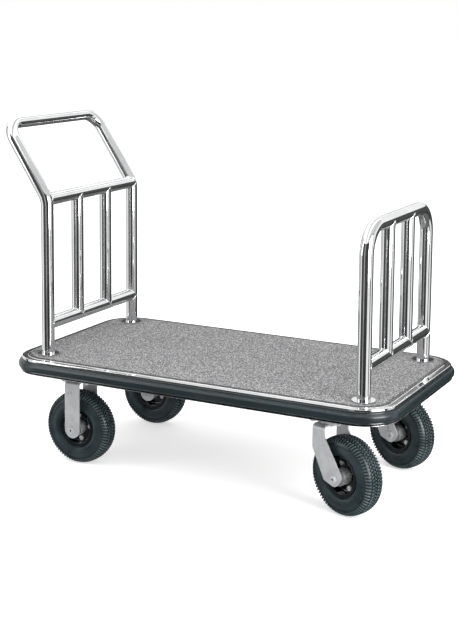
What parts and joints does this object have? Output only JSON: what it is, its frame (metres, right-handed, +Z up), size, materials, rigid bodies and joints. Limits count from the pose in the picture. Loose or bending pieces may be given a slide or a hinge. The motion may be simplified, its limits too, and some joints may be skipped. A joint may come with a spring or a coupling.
{
  "type": "hotel luggage cart",
  "caption": "Platform luggage cart with carpeted deck, wraparound bumper, polished tube frames at both ends, fixed rear wheels and swivelling front wheels.",
  "frame": {"origin": "on the floor under the centre of the overall box", "axes": "+X from the push handle towards the low hoop, the longest way; +Y to the pusher's left; +Z up"},
  "size_m": [1.2646, 0.65, 1.0172],
  "materials": {
    "polished_tube": "mirror-polished stainless tube",
    "bright_trim": "bright anodised channel",
    "dark_vinyl": "smooth dark grey vinyl",
    "grey_carpet": "heather loop pile",
    "plywood": "sanded plywood, sealed",
    "black_paint": "satin black paint",
    "zinc_plate": "satin zinc plate",
    "bearing_steel": "ground steel",
    "black_gloss_enamel": "gloss black enamel",
    "tyre_rubber": "moulded rubber",
    "butyl_rubber": "smooth black rubber"
  },
  "bodies": {
    "cart": {"deck_board": "plywood", "carpet_mat": "grey_carpet", "edge_channel": "bright_trim", "bumper_strip": "dark_vinyl", "underframe_ring": "black_paint", "underframe_cross_rails": "black_paint", "handle_tube": "polished_tube", "handle_crossbar": "polished_tube", "handle_lower_rail": "polished_tube", "handle_bar_right": "polished_tube", "handle_bar_left": "polished_tube", "hoop_tube": "polished_tube", "hoop_lower_rail": "polished_tube", "hoop_bar_right": "polished_tube", "hoop_bar_left": "polished_tube", "post_flanges": "polished_tube", "post_bolts": "zinc_plate", "rear_bracket_right": "zinc_plate", "rear_bracket_left": "zinc_plate", "rear_axles": "zinc_plate", "rear_axle_nuts": "zinc_plate", "rear_axle_spacers": "zinc_plate", "front_swivel_plate_right": "zinc_plate", "front_swivel_plate_left": "zinc_plate", "kingpins": "zinc_plate", "caster_plate_bolts": "zinc_plate"},
    "fork_front_right": {"front_fork_right": "zinc_plate", "front_axle_right": "zinc_plate", "front_axle_nut_right": "zinc_plate", "front_axle_spacers_right": "zinc_plate"},
    "fork_front_left": {"front_fork_left": "zinc_plate", "front_axle_left": "zinc_plate", "front_axle_nut_left": "zinc_plate", "front_axle_spacers_left": "zinc_plate"},
    "wheel_rear_right": {"tyre_rear_right": "tyre_rubber", "inner_tube_rear_right": "butyl_rubber", "rim_outer_rear_right": "black_gloss_enamel", "rim_inner_rear_right": "black_gloss_enamel", "wheel_bearings_rear_right": "bearing_steel", "rim_bolts_rear_right": "zinc_plate"},
    "wheel_rear_left": {"tyre_rear_left": "tyre_rubber", "inner_tube_rear_left": "butyl_rubber", "rim_outer_rear_left": "black_gloss_enamel", "rim_inner_rear_left": "black_gloss_enamel", "wheel_bearings_rear_left": "bearing_steel", "rim_bolts_rear_left": "zinc_plate"},
    "wheel_front_right": {"tyre_front_right": "tyre_rubber", "inner_tube_front_right": "butyl_rubber", "rim_outer_front_right": "black_gloss_enamel", "rim_inner_front_right": "black_gloss_enamel", "wheel_bearings_front_right": "bearing_steel", "rim_bolts_front_right": "zinc_plate"},
    "wheel_front_left": {"tyre_front_left": "tyre_rubber", "inner_tube_front_left": "butyl_rubber", "rim_outer_front_left": "black_gloss_enamel", "rim_inner_front_left": "black_gloss_enamel", "wheel_bearings_front_left": "bearing_steel", "rim_bolts_front_left": "zinc_plate"}
  },
  "joints": [
    {"name": "swivel_front_right", "type": "hinge", "parent": "cart", "child": "fork_front_right", "pos_m": [0.43128, -0.211, 0.2445], "axis": [0, 0, 1], "continuous": true},
    {"name": "swivel_front_left", "type": "hinge", "parent": "cart", "child": "fork_front_left", "pos_m": [0.43128, 0.211, 0.2445], "axis": [0, 0, 1], "continuous": true},
    {"name": "spin_rear_right", "type": "hinge", "parent": "cart", "child": "wheel_rear_right", "pos_m": [-0.36673, -0.2155, 0.108], "axis": [0, 1, 0], "continuous": true},
    {"name": "spin_rear_left", "type": "hinge", "parent": "cart", "child": "wheel_rear_left", "pos_m": [-0.36673, 0.2155, 0.108], "axis": [0, 1, 0], "continuous": true},
    {"name": "spin_front_right", "type": "hinge", "parent": "fork_front_right", "child": "wheel_front_right", "pos_m": [0.48954, -0.2322, 0.108], "axis": [0.342, 0.9397, 0], "continuous": true},
    {"name": "spin_front_left", "type": "hinge", "parent": "fork_front_left", "child": "wheel_front_left", "pos_m": [0.48954, 0.18979, 0.108], "axis": [0.342, 0.9397, 0], "continuous": true}
  ]
}
